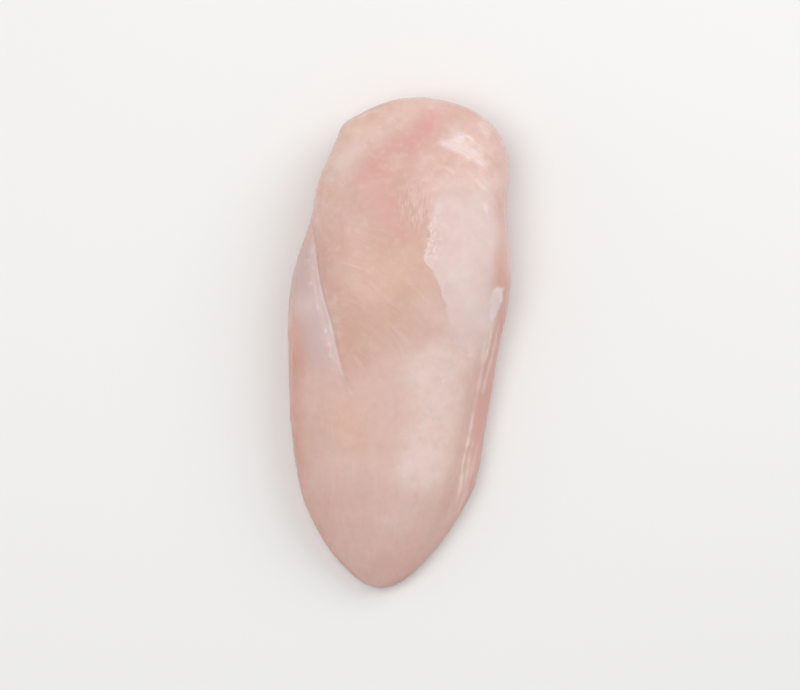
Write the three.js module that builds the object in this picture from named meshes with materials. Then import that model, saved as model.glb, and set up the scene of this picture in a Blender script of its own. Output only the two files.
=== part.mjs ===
// A raw chicken breast: one boneless, skinless half breast, lying rib side down.
// Millimetres. +Z is up from the surface it lies on, +Y runs from the thin tail to the thick
// shoulder end, and +X is to the right, seen from above. The origin is under its middle.
//
// It is one muscle, so it is one solid: a skin drawn round a row of cross-sections. The big
// round belly overlaps a lower lobe along its left side, and the seam between the two is a
// fold that starts deep at the left edge and runs out towards the middle of the tail.

import * as THREE from "three";

// Driving sizes
const LENGTH = 197;
const SHOULDER_ROUND = 39; // radius of the shoulder end, seen from above
const TAIL_ROUND = 42;
const UNDER_ROUND = 15; // how far from each end the underside leaves the table
const END_BLUNTNESS = 0.82; // under 1 makes the two ends blunter, seen from the side
const PRESSED = 5; // how much of the round underside its own weight presses flat
const UNDER_SQUARENESS = 2.6; // 2 is a round underside, and more is a squarer one
const TAIL_X = -9;
const SHOULDER_X = 5.6;

// How finely the skin is drawn
const SECTIONS = 72;
const LEDGE_STEPS = 5; // from the right edge to the foot of the slope above the ledge
const SLOPE_STEPS = 4;
const BELLY_STEPS = 14; // from there over the top to where it rolls down to the seam
const ROLL_STEPS = 5;
const LOBE_STEPS = 9; // from the foot of the fold to the left edge
const UNDER_STEPS = 27;

// Sizes that change along the breast, as [distance from the tail, size]
const rightReach = smooth(
  [0, 22.5], [30, 31.2], [40, 34.4], [48, 36], [70, 38], [98, 40.5], [112, 42.5], [126, 43], [142, 40.5], [158, 39], [176, 42], [197, 46],
);
const leftReach = smooth(
  [0, 23], [30, 32.4], [40, 35.3], [48, 37.6], [64, 40.5], [78, 42.5], [108, 45], [120, 45.2], [132, 43.4], [142, 40.6], [152, 38.3],
  [162, 37.2], [173, 36.6], [184, 38], [197, 40],
);
const crownHeight = smooth([0, 12], [20, 19.5], [40, 25.6], [68, 31], [98, 36.5], [128, 41], [152, 42], [176, 40], [197, 38]);
const rightRim = smooth([0, 5], [30, 7], [70, 9], [100, 12], [130, 16], [160, 17], [197, 17]);
const leftRim = smooth([0, 5], [30, 8], [70, 11], [110, 10], [135, 12], [155, 17], [197, 17]);
const rightSquareness = smooth([0, 2.1], [45, 2.05], [90, 2.1], [120, 2.5], [150, 2.6], [197, 2.5]);
const leftSquareness = smooth([0, 2.1], [60, 2.3], [110, 2.5], [150, 2.6], [197, 2.5]);

// The fold: where its seam lies, as a share of the left reach, and how deep it is
const seamPlace = smooth(
  [0, 0.34], [40, 0.24], [56, 0.22], [70, 0.295], [80, 0.405], [90, 0.5], [104, 0.575], [116, 0.66], [132, 0.785], [146, 0.895],
  [160, 0.92], [197, 0.92],
);
const foldShare = smooth(
  [0, 0], [56, 0], [66, 0], [75, 0.02], [85, 0.09], [96, 0.29], [110, 0.64], [124, 0.92], [134, 0.95], [145, 0.68],
  [155, 0.3], [163, 0.08], [171, 0], [197, 0],
);
const FOLD_DROP = 0.19; // how much lower than the belly the lobe lies, as a share of its height
const ROLL_WIDTH = 9; // the round shoulder over which the belly turns down to the seam
const ROLL_DROP = 3;
const FOLD_WALL = 0.8; // how far beyond the seam the foot of the fold starts
const FOLD_TUCK = 2; // and how far the lobe then reaches back under the belly
const LOBE_DIP = 0.8; // how much the lobe sinks next to the seam

// The trimmed ledge that runs low along the right flank of the tail half
const ledgeShare = smooth(
  [0, 0], [14, 0.1], [36, 0.42], [60, 0.52], [88, 0.5], [102, 0.42], [114, 0.25], [126, 0.1], [136, 0.02], [146, 0], [197, 0],
);
const ledgePlace = smooth([0, 0.74], [44, 0.75], [66, 0.76], [90, 0.81], [108, 0.84], [130, 0.86], [197, 0.86]); // of the right reach
const LEDGE_SLOPE = 0.09; // how far the slope down to it spreads to each side, as a share of the same
const LEDGE_RISE = 2.5; // how far its flat top lies above the widest line

// The hollow on the rib side, where the tenderloin lay
const HOLLOW = { x: -4, along: 112, halfWidth: 17, halfLength: 52, depth: 3 };

// Small swellings and dents that every breast has: place from above, height and spread
const SWELLINGS = [
  { x: 26, along: 172, height: 0.9, spread: 13 },
  { x: -14, along: 166, height: 0.8, spread: 15 },
  { x: 8, along: 150, height: -0.8, spread: 13 },
  { x: 22, along: 128, height: 1.1, spread: 14 },
  { x: -8, along: 112, height: 0.8, spread: 13 },
  { x: 12, along: 84, height: -1, spread: 14 },
  { x: -20, along: 62, height: 1, spread: 13 },
  { x: 4, along: 44, height: 0.9, spread: 12 },
  { x: -24, along: 36, height: -0.8, spread: 9 },
  { x: 10, along: 22, height: 0.7, spread: 8 },
];

// The little corner of trimmed meat at the upper left, pushed out sideways
const CORNER = { x: -21.5, along: 184.5, height: 20, push: 1.9, spread: 5 };

// A smooth curve through the given places, as a function of the distance from the tail.
function smooth(...places) {
  const curve = new THREE.CubicInterpolant(places.map((p) => p[0]), places.map((p) => p[1]), 1);
  return (along) => curve.evaluate(along)[0];
}

function roundEnd(distance, radius) {
  return distance >= radius ? 1 : Math.sqrt(1 - ((radius - distance) / radius) ** 2);
}

// How full the section is: 1 along the body, falling to 0 at both ends.
function fullness(along) {
  return roundEnd(along, TAIL_ROUND) * roundEnd(LENGTH - along, SHOULDER_ROUND);
}

function underFullness(along) {
  return roundEnd(along, UNDER_ROUND) * roundEnd(LENGTH - along, UNDER_ROUND);
}

function middleX(along) {
  return THREE.MathUtils.lerp(TAIL_X, SHOULDER_X, along / LENGTH);
}

function foldDepth(along) {
  return Math.max(foldShare(along), 0);
}

function bell(distance, spread) {
  return Math.exp(-((distance / spread) ** 2));
}

// The angle round a section at which the top has gone this share of the way to the right edge.
function turnAtRight(share, squareness) {
  return Math.acos(share ** (squareness / 2));
}

function turnAtLeft(share, squareness) {
  return Math.PI - turnAtRight(share, squareness);
}

// Evenly spaced angles from one angle up to the next, which is left out.
function turnsBetween(start, end, count) {
  return Array.from({ length: count }, (_, i) => start + ((end - start) * i) / count);
}

// The left part of the top, from the seam to the edge, sinks to a rounded lobe of its own.
function lobeHeight(along, out, belly, atSeam) {
  const rim = leftRim(along);
  const lobeTop = atSeam * (1 - FOLD_DROP) - rim;
  const lobe = rim + Math.max(lobeTop, 0) * (1 - out ** 2.2) ** (1 / 2.2) - LOBE_DIP * bell(out, 0.22);
  return THREE.MathUtils.lerp(belly, lobe, foldDepth(along));
}

function topHeight(along, across) {
  const isRight = across > 0;
  const squareness = isRight ? rightSquareness(along) : leftSquareness(along);
  const rim = isRight ? rightRim(along) : leftRim(along);
  const up = (1 - Math.abs(across) ** squareness) ** (1 / squareness);
  return rim + (crownHeight(along) - rim) * up * fullness(along) ** END_BLUNTNESS;
}

// On the right flank the top drops to a low ledge before it reaches the edge.
function ledgeHeight(along, across, belly) {
  const low = rightRim(along) + LEDGE_RISE * Math.sqrt(1 - across ** 6);
  const place = ledgePlace(along);
  const share = Math.max(ledgeShare(along), 0) * THREE.MathUtils.smoothstep(across, place - LEDGE_SLOPE, place + LEDGE_SLOPE);
  return THREE.MathUtils.lerp(belly, Math.min(low, belly), share);
}

function swelling(x, along) {
  return SWELLINGS.reduce((sum, s) => sum + s.height * bell(Math.hypot(x - s.x, along - s.along), s.spread), 0);
}

// A point on the upper side. across runs from 1 at the right edge to -1 at the left one.
function topPoint(along, across, isLobe) {
  const reach = (across > 0 ? rightReach(along) : leftReach(along)) * fullness(along);
  let x = middleX(along) + across * reach;
  let z = topHeight(along, across);
  if (across > 0) z = ledgeHeight(along, across, z);
  if (isLobe) {
    const seam = seamPlace(along);
    const out = THREE.MathUtils.clamp((-across - seam) / (1 - seam), 0, 1);
    z = lobeHeight(along, out, z, topHeight(along, -seam));
    x += FOLD_TUCK * foldDepth(along) * bell(out, 0.2);
  }
  z += swelling(x, along) * Math.sqrt(Math.max(1 - Math.abs(across), 0)) * fullness(along);
  return new THREE.Vector3(x, along - LENGTH / 2, z);
}

function hollow(x, along) {
  const away = Math.hypot((x - HOLLOW.x) / HOLLOW.halfWidth, (along - HOLLOW.along) / HOLLOW.halfLength);
  return away < 1 ? HOLLOW.depth * (1 - away ** 2) ** 2 : 0;
}

// A point on the underside, which rests flat on the table.
function underPoint(along, turn) {
  const isRight = Math.cos(turn) > 0;
  const rim = isRight ? rightRim(along) : leftRim(along);
  const reach = (isRight ? rightReach(along) : leftReach(along)) * fullness(along);
  const across = Math.sign(Math.cos(turn)) * Math.abs(Math.cos(turn)) ** (2 / UNDER_SQUARENESS);
  const down = Math.abs(Math.sin(turn)) ** (2 / UNDER_SQUARENESS);
  const x = middleX(along) + across * reach;
  const z = rim - (rim + PRESSED) * down * underFullness(along);
  return new THREE.Vector3(x, along - LENGTH / 2, Math.max(z, 0) + hollow(x, along));
}

// One cross-section: from the right edge over the belly, down the fold, over the lobe to the
// left edge, and back underneath.
function section(along) {
  const points = [];
  const seam = seamPlace(along);
  const roll = ROLL_WIDTH / leftReach(along);
  const foot = seam + (FOLD_WALL * foldDepth(along)) / leftReach(along) + 0.02;
  const squareness = leftSquareness(along);
  const ledgeFoot = turnAtRight(ledgePlace(along) + LEDGE_SLOPE, rightSquareness(along));
  const ledgeHead = turnAtRight(ledgePlace(along) - LEDGE_SLOPE, rightSquareness(along));
  const rollTurn = turnAtLeft(Math.max(seam - roll, 0), squareness);
  const turns = [
    ...turnsBetween(0, ledgeFoot, LEDGE_STEPS),
    ...turnsBetween(ledgeFoot, ledgeHead, SLOPE_STEPS),
    ...turnsBetween(ledgeHead, rollTurn, BELLY_STEPS),
  ];
  for (const turn of turns) {
    const power = 2 / (turn < Math.PI / 2 ? rightSquareness(along) : squareness);
    const across = Math.sign(Math.cos(turn)) * Math.abs(Math.cos(turn)) ** power;
    points.push(topPoint(along, across, false));
  }
  for (let i = 0; i <= ROLL_STEPS; i++) {
    const bend = ((Math.PI / 2) * i) / ROLL_STEPS;
    const point = topPoint(along, -(seam - Math.min(roll, seam) * (1 - Math.sin(bend))), false);
    point.z -= ROLL_DROP * foldDepth(along) * (1 - Math.cos(bend));
    points.push(point);
  }
  const footTurn = turnAtLeft(foot, squareness);
  for (let i = 0; i < LOBE_STEPS; i++) {
    const turn = THREE.MathUtils.lerp(footTurn, Math.PI, i / LOBE_STEPS);
    points.push(topPoint(along, -(Math.abs(Math.cos(turn)) ** (2 / squareness)), true));
  }
  for (let i = 0; i < UNDER_STEPS; i++) points.push(underPoint(along, Math.PI * (1 + i / UNDER_STEPS)));
  return points;
}

function pushCorner(point) {
  const along = point.y + LENGTH / 2;
  const away = Math.hypot(point.x - CORNER.x, along - CORNER.along, (point.z - CORNER.height) / 2);
  const near = bell(away, CORNER.spread);
  const outward = new THREE.Vector2(CORNER.x - SHOULDER_X, CORNER.along - (LENGTH - SHOULDER_ROUND)).normalize();
  point.x += outward.x * CORNER.push * near;
  point.y += outward.y * CORNER.push * near;
}

// The sections joined into one closed skin, with a point at the tail and one at the shoulder.
function fleshGeometry() {
  const around = LEDGE_STEPS + SLOPE_STEPS + BELLY_STEPS + ROLL_STEPS + 1 + LOBE_STEPS + UNDER_STEPS;
  const points = [new THREE.Vector3(middleX(0), -LENGTH / 2, leftRim(0))];
  for (let i = 1; i < SECTIONS; i++) {
    points.push(...section((LENGTH * (1 - Math.cos((Math.PI * i) / SECTIONS))) / 2));
  }
  points.push(new THREE.Vector3(middleX(LENGTH), LENGTH / 2, leftRim(LENGTH)));
  points.forEach(pushCorner);

  const faces = [];
  const last = points.length - 1;
  const at = (ring, i) => 1 + ring * around + (i % around);
  for (let i = 0; i < around; i++) {
    faces.push(0, at(0, i), at(0, i + 1));
    for (let ring = 0; ring < SECTIONS - 2; ring++) {
      faces.push(at(ring, i), at(ring + 1, i), at(ring + 1, i + 1));
      faces.push(at(ring, i), at(ring + 1, i + 1), at(ring, i + 1));
    }
    faces.push(last, at(SECTIONS - 2, i + 1), at(SECTIONS - 2, i));
  }
  const geometry = new THREE.BufferGeometry().setFromPoints(points);
  geometry.setIndex(faces);
  geometry.computeBoundingBox();
  const middle = geometry.boundingBox.getCenter(new THREE.Vector3());
  geometry.translate(-middle.x, -middle.y, -geometry.boundingBox.min.z);
  geometry.computeVertexNormals();
  return geometry;
}

const flesh = new THREE.MeshStandardMaterial({ color: "#dfbbac", roughness: 0.35, metalness: 0 });

const breast = new THREE.Mesh(fleshGeometry(), flesh);
breast.name = "breast";

const chickenBreast = new THREE.Group();
chickenBreast.add(breast);

export default chickenBreast;
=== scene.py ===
# %% [markdown]
# A raw chicken breast
#
# One boneless, skinless half breast lies on its rib side, and the camera looks straight down on
# it. The real thing is a single muscle, so the scene is a single skin of flesh. All that makes it
# look like meat is on that skin: the fold along its left side, the thin membranes left by the
# knife, the fan of muscle fibres, the pink blush at the shoulder and the wet shine.
#
# The lesson goes from large to small: the camera, the smooth skin, the maps that say where each
# membrane lies, the relief, the colours, the shine, and last the floor and the lights.

# %% The solid that the flesh is built round
import math

import bmesh
import bpy
import numpy as np
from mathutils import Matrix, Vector, noise
from mathutils.bvhtree import BVHTree


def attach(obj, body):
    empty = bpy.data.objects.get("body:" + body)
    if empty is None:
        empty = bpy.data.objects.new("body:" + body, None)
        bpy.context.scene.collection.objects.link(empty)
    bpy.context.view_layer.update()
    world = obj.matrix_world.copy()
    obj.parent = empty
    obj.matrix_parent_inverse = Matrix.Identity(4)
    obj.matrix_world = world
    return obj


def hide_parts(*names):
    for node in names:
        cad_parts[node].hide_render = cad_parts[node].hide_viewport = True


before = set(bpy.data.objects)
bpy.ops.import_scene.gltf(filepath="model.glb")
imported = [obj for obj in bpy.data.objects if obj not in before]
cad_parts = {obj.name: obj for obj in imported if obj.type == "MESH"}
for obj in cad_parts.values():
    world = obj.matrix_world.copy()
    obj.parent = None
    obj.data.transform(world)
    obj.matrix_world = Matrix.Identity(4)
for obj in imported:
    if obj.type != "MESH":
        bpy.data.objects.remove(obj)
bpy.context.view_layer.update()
MM = 0.001

# %% [markdown]
# The camera comes first, because places on the flesh are read off the photograph. It was taken
# from straight above, and one of its pixels spans 0.4 mm of the breast. An orthographic camera
# would do, but a long lens keeps the slight perspective of a real picture.

# %% The map from photograph to flesh
PIXEL = 0.4 * MM
IMAGE_WIDTH = 800
IMAGE_MIDDLE = (400, 345)
ORIGIN_PIXEL = (399.5, 344)


def spot(pixel_x, pixel_y):
    """The place on the breast, seen from above, that a pixel of the photograph shows."""
    return (pixel_x - ORIGIN_PIXEL[0]) * PIXEL, (ORIGIN_PIXEL[1] - pixel_y) * PIXEL


print("The photograph spans", round(IMAGE_WIDTH * PIXEL / MM), "mm of the flesh")

# %% The camera
LENS_LENGTH = 150
SENSOR_WIDTH = 36
OUTLINE_HEIGHT = 18 * MM  # where the breast is widest
lens = bpy.data.cameras.new("camera")
lens.lens = LENS_LENGTH
lens.sensor_width = SENSOR_WIDTH
camera_distance = IMAGE_WIDTH * PIXEL * LENS_LENGTH / SENSOR_WIDTH
camera = bpy.data.objects.new("camera", lens)
camera.location = (*spot(*IMAGE_MIDDLE), OUTLINE_HEIGHT + camera_distance)
bpy.context.scene.collection.objects.link(camera)
bpy.context.scene.camera = camera
print("The camera is", round(camera.location.z, 3), "m above the floor")

# %% [markdown]
# The solid's skin has coarse flat facets, while flesh is smooth and evenly fine. Smooth shading
# alone would leave no points for the relief to move. More subdivision alone would make long thin
# faces at the two ends, where the solid's own quads run together in a point. So the facets are
# joined into quads, rounded by subdivision, and laid out again as small even squares with a voxel
# remesh. Even squares take fine relief equally well everywhere.

# %% Helpers for meshes
MERGE_DISTANCE = 0.001 * MM
FLAT_ENOUGH = math.radians(50)
SQUARE_ENOUGH = math.radians(70)


def merged_copy(node, name):
    """A new object with the node's mesh, its loose triangles joined into quads."""
    mesh = bpy.data.meshes.new(name)
    shape = bmesh.new()
    shape.from_mesh(node.data)
    bmesh.ops.remove_doubles(shape, verts=shape.verts, dist=MERGE_DISTANCE)
    bmesh.ops.join_triangles(
        shape,
        faces=shape.faces,
        angle_face_threshold=FLAT_ENOUGH,
        angle_shape_threshold=SQUARE_ENOUGH,
    )
    shape.to_mesh(mesh)
    shape.free()
    piece = bpy.data.objects.new(name, mesh)
    bpy.context.scene.collection.objects.link(piece)
    return piece


def apply_modifiers(piece):
    """Turns what the modifiers make into the piece's own plain mesh, shaded smooth."""
    evaluated = piece.evaluated_get(bpy.context.evaluated_depsgraph_get())
    mesh = bpy.data.meshes.new_from_object(evaluated)
    piece.modifiers.clear()
    piece.data = mesh
    mesh.name = piece.name
    mesh.polygons.foreach_set("use_smooth", [True] * len(mesh.polygons))


# %% The smooth skin
SUBDIVISIONS = 2
SQUARE_SIDE = 0.74 * MM
flesh = merged_copy(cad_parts["breast"], "chicken_breast")
rounding = flesh.modifiers.new("rounding", "SUBSURF")
rounding.levels = SUBDIVISIONS
rounding.render_levels = SUBDIVISIONS
squares = flesh.modifiers.new("squares", "REMESH")
squares.mode = "VOXEL"
squares.voxel_size = SQUARE_SIDE
settling = flesh.modifiers.new("settling", "SMOOTH")
settling.factor = 0.5
settling.iterations = 3
apply_modifiers(flesh)
print("The skin has", len(flesh.data.vertices), "points and", len(flesh.data.polygons), "squares")

# %% [markdown]
# Everything that differs from place to place on the flesh is a number for each point of the skin,
# called a map here. Maps could be painted by hand. Formulas were chosen, because they can be
# changed and run again, and NumPy works them out for all points at once. Lengths in the maps are
# in millimetres, which are easy to compare with the real thing.

# %% Points of the skin as arrays
point_count = len(flesh.data.vertices)


def for_each_point(what):
    """One vector for each point of the skin: its place or its normal."""
    values = np.empty(point_count * 3)
    flesh.data.vertices.foreach_get(what, values)
    return values.reshape(-1, 3)


points = for_each_point("co")
outward = for_each_point("normal")
facing_up = outward[:, 2]
x, y, z = points.T / MM
skin_points = [Vector(place) for place in points / MM]
print("Each map holds", point_count, "numbers")


# %% Helpers for maps
def in_mm(pixels):
    """Pixel places as two arrays of millimetres: x and y."""
    places = np.array([spot(*pixel) for pixel in pixels]) / MM
    return places[:, 0], places[:, 1]


def ease(value, low, high):
    """0 at low and 1 at high, with a soft start and end. It falls where low is above high."""
    share = np.clip((value - low) / (high - low), 0, 1)
    return share * share * (3 - 2 * share)


def drift(size, reach, seed):
    """Soft noise for each point: spots of about this size in mm, up to reach either way."""
    shift = Vector((31.7 * seed, 17.3 * seed, 0))
    return reach * np.array([noise.noise(place / size + shift) for place in skin_points])


def keep_map(name, values):
    """Stores one number for each point of the skin, for the relief and the material to read."""
    attribute = flesh.data.attributes.new(name, "FLOAT", "POINT")
    attribute.data.foreach_set("value", np.asarray(values, np.float32))
    print(name, "runs from", round(float(values.min()), 2), "to", round(float(values.max()), 2))


# %% Which way the skin faces
upward = ease(facing_up, -0.3, 0.25)
keep_map("underside", 1 - upward)
keep_map("steepness", ease(facing_up, 0.75, 0.25) * ease(facing_up, -0.9, -0.4))
lower_right = ease(x, 0, 15) * ease(-y, 0, 20)
# the side-facing flanks take painted shade and painted orange reflected light, partly also the flesh's own
# deeper colour at its edges
flank = ease(facing_up, 0.92, 0.35) * upward * (1 - 0.5 * lower_right)

# %% [markdown]
# The big belly overlaps a lower lobe along the left side. A pale membrane covers its right half,
# and the bare muscle ends in a line further down. These borders could be a picture laid over the
# flesh. Here each is drawn once, as a row of pixels of the photograph, and becomes a distance in
# millimetres. A distance gives a sharp, ragged or soft edge, as the place asks.

# %% Distances from a line on the photograph
def right_of(line):
    """How far each point lies to the right of a line that runs down the photograph."""
    line_x, line_y = in_mm(line)
    return x - np.interp(y, line_y[::-1], line_x[::-1])


def below(line):
    """How far each point lies below a line that runs across the photograph."""
    line_x, line_y = in_mm(line)
    return np.interp(x, line_x, line_y) - y


# %% The seam between belly and lobe
SEAM = [
    (312, 225), (315.5, 246), (319.5, 276), (326, 305),
    (331.5, 323), (336, 343), (340.5, 366), (346, 382),
]
right_of_seam = right_of(SEAM)
seam_top, seam_end = in_mm(SEAM)[1][[0, -1]]
past_seam_end = ease(y, seam_end - 3, seam_end + 14)
beside_seam = past_seam_end * ease(y, seam_top + 12, seam_top + 2) * upward
keep_map("right_of_seam", right_of_seam)
keep_map("beside_seam", beside_seam)
keep_map("silvery", (0.3 + 0.7 * ease(y, seam_top - 2, seam_top - 18)) * beside_seam)
# the belly's own left side keeps less of that painted shade
belly_side = ease(right_of_seam, -0.5, 1) * ease(-x, 12, 24) * ease(y, -25, 0)
keep_map("flank", flank * (1 - 0.7 * belly_side))

# %% The pale membrane
MEMBRANE_LEFT = [
    (438, 140), (427, 165), (422, 190), (423, 208), (427, 222), (428, 238), (425, 249),
    (422, 258), (424, 265), (432, 273), (439, 289), (443, 305), (444, 328), (448, 352),
]
MEMBRANE_RIGHT = [
    (478, 140), (489, 180), (493, 215), (495, 240), (492, 262),
    (489, 285), (491, 305), (490, 322), (482, 342), (474, 358),
]
keep_map("in_membrane", right_of(MEMBRANE_LEFT))
inner_side = ease(right_of(MEMBRANE_RIGHT), 4, -3)
fade_up = ease(y + drift(size=9, reach=7, seed=9), 72, 54)
fade_down = ease(y + drift(size=9, reach=7, seed=11), -6, 13)
keep_map("membrane_fade", fade_up * fade_down * inner_side * upward)
keep_map("edge_softness", 0.8 + 6 * ease(y, 44, 56) + 2.4 * ease(y, 22, 6))

# %% Where the bare muscle ends
BARE_MUSCLE_END = [
    (330, 356), (357, 358), (387, 350), (415, 338), (430, 330), (447, 336), (475, 362), (520, 380),
]
keep_map("below_bare_muscle", below(BARE_MUSCLE_END) + drift(size=14, reach=5, seed=3))

# %% [markdown]
# The muscle fibres of a breast fan out from the shoulder. Seen from above they are arcs round a
# point at the left edge, and they straighten towards the tail. Curves could be drawn one by one,
# but two numbers describe them all: how far across the fibres a point is, and how far along them.
# Any streak that is thin across and long along then follows the grain. A little drift keeps the
# fibres from looking combed.

# %% The flanks folded up flat, so the grain isn't stretched down them
BROW_HEIGHT = 30
folded_up = np.clip(BROW_HEIGHT - z, 0, None) * (1 - np.clip(facing_up, 0, 1)) ** 2
sideways = np.linalg.norm(outward[:, :2], axis=1) + 0.001
flat_x = x + folded_up * outward[:, 0] / sideways
flat_y = y + folded_up * outward[:, 1] / sideways
print("The flanks fold out by up to", round(float(folded_up.max()), 1), "mm")

# %% The fan of fibres on the belly, straighter towards the tail
FAN_MIDDLE = (318, 378)
FAN_RADIUS = 40
TAIL_STATIONS = [-98, -90, -70, -45, -20]
TAIL_HALF_WIDTHS = [9, 18, 31, 37, 40]
TAIL_LEAN = 0.08
MIDDLE_FIBRE = 35
MIDDLE_TO_EDGE = 40
fan_x, fan_y = (place / MM for place in spot(*FAN_MIDDLE))
arc_across = np.hypot(flat_x - fan_x, flat_y - fan_y)
arc_along = FAN_RADIUS * np.arctan2(flat_y - fan_y, flat_x - fan_x)
half_width = np.interp(y, TAIL_STATIONS, TAIL_HALF_WIDTHS)
from_middle_line = flat_x + 10 - TAIL_LEAN * (y - TAIL_STATIONS[0])
tail_across = MIDDLE_FIBRE + MIDDLE_TO_EDGE * from_middle_line / half_width
tail_share = ease(-y, 2, 50)
top_across = arc_across + (tail_across - arc_across) * tail_share
top_along = arc_along + (flat_y - arc_along) * tail_share

# %% [markdown]
# The lobe has its own grain along the seam, and the rib side a plainer, slanting one. Where two
# grains meet, one simply stops and the other starts, as on real muscles that lie side by side. A
# soft change between two such maps might look gentler, but it would squeeze the grain into swirls.

# %% The grain of the lobe and of the rib side
LOBE_TURN = (0.98, 0.17)
RIB_TURN = (0.93, 0.37)
LOBE_SHIFT = 40


def turned(right, up, turn):
    """How far across a slanting grain each point is, and how far along it."""
    return turn[0] * right + turn[1] * up, turn[0] * up - turn[1] * right


left_of_seam = ease(-right_of_seam, -0.4, 0.5) * past_seam_end
below_seam_top = y + drift(size=6, reach=2, seed=13) < seam_top + 1
on_lobe = np.maximum(left_of_seam, ease(-right_of_seam, 0, 12)) * below_seam_top
lobe_across, lobe_along = turned(flat_x, flat_y, LOBE_TURN)
top_across += (lobe_across + LOBE_SHIFT - top_across) * on_lobe
top_along += (lobe_along - top_along) * on_lobe
rib_across, rib_along = turned(x, y, RIB_TURN)
wander = drift(size=17, reach=3.2, seed=1) + drift(size=6, reach=0.9, seed=2)
on_rib_side = facing_up < -0.45
keep_map("across_fibres", np.where(on_rib_side, rib_across, top_across) + wander)
keep_map("along_fibres", np.where(on_rib_side, rib_along, top_along))

# %% [markdown]
# Blood leaves a pink blush near the shoulder: two soft spots and a band that joins them. The lower
# half is paler in broad soft patches, and the trimmed corner at the upper left keeps a little fat.
# Noise alone would put such patches anywhere. None of them has an edge, so each is a sum of soft round
# spots, placed where the photograph has them.

# %% A sum of soft spots, and the blush
def soft_spots(spots):
    """A sum of soft round spots, each as pixel x, pixel y, radius in mm and strength."""
    total = np.zeros(point_count)
    for pixel_x, pixel_y, radius, strength in spots:
        spot_x, spot_y = spot(pixel_x, pixel_y)
        away = np.hypot(x - spot_x / MM, y - spot_y / MM) / radius
        total += strength * np.exp(-(away**2))
    return np.clip(total, 0, 1) * upward


BLUSH_SPOTS = [
    (429, 118, 3.8, 0.8), (427, 131, 4, 0.85), (416, 141, 4.5, 0.75), (439, 115, 3.5, 0.5),
    (404, 147, 4, 0.4), (414, 156, 3.5, 0.35), (389, 152, 4.5, 0.3), (377, 168, 4.5, 0.6),
    (366, 183, 4.5, 0.4), (380, 194, 5, 0.35), (390, 213, 5.5, 0.45), (400, 232, 5, 0.35),
    # (503, 308) is painted shadow beside the flap, in the blush colour
    (350, 402, 8, 0.2), (360, 430, 8, 0.2), (503, 308, 3, 0.5), (402, 560, 12, 0.4),
    (330, 500, 10, 0.3),
]
keep_map("blush", soft_spots(BLUSH_SPOTS))

# %% Pale patches
# most spots are paler flesh; beside the seam they are painted light, and on the upper rim partly
PALE_SPOTS = [
    # the lower half
    (428, 370, 10, 0.9), (434, 400, 10, 0.8), (432, 434, 9, 0.9), (430, 464, 9, 0.9),
    (404, 470, 8, 0.6), (408, 438, 6, 0.35), (456, 398, 5, 0.3), (455, 424, 5, 0.2),
    (424, 480, 7, 0.4), (335, 464, 8, 0.4), (400, 520, 14, 0.5),
    # the lower end of the membrane
    (436, 316, 5, 0.5), (468, 354, 7, 0.6), (456, 368, 6, 0.35), (424, 302, 6, 0.3),
    (486, 326, 4, 0.9), (487, 345, 4, 0.6), (448, 338, 6, 0.5), (470, 345, 6, 0.3),
    (432, 358, 6, 0.5), (463, 298, 6, 0.4), (477, 312, 5, 0.4),
    # both sides of the seam, painted light where the crease wall and the slope of the lobe lie in shade
    (304, 306, 5, 0.9), (334, 272, 4, 0.25), (326, 292, 2.2, 0.35), (331, 306, 2.2, 0.45),
    (335, 320, 2.2, 0.5), (338, 333, 2.2, 0.5), (342, 348, 2.2, 0.35),
    # the right half of the shoulder
    (421, 184, 5, 0.3), (422, 199, 3.5, 0.3), (450, 190, 2, 0.4), (470, 190, 2, 0.3),
    (480, 188, 5, 0.5), (470, 150, 6, 0.3), (492, 152, 5, 0.5), (497, 182, 5, 0.8),
    (490, 230, 5, 0.5), (472, 202, 6, 0.3),
    # its left half
    (346, 156, 6, 0.4), (376, 128, 6, 0.15), (395, 105, 7, 0.4), (384, 130, 8, 0.35),
    (404, 121, 6, 0.3), (366, 144, 6, 0.4), (338, 170, 7, 0.55), (338, 178, 6, 0.2),
    (330, 212, 7, 0.3), (354, 153, 5, 0.25), (396, 167, 3, 0.35), (428, 160, 5, 0.3),
    (422, 168, 5, 0.25),
    # its upper rim, partly painted reflected light along the edge
    (420, 104, 6, 0.4), (440, 104, 8, 0.5), (476, 125, 7, 0.4), (486, 130, 4, 0.4),
    (481, 127, 1.5, 0.5), (487, 134, 1.5, 0.6),
]
keep_map("pale", soft_spots(PALE_SPOTS))

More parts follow.
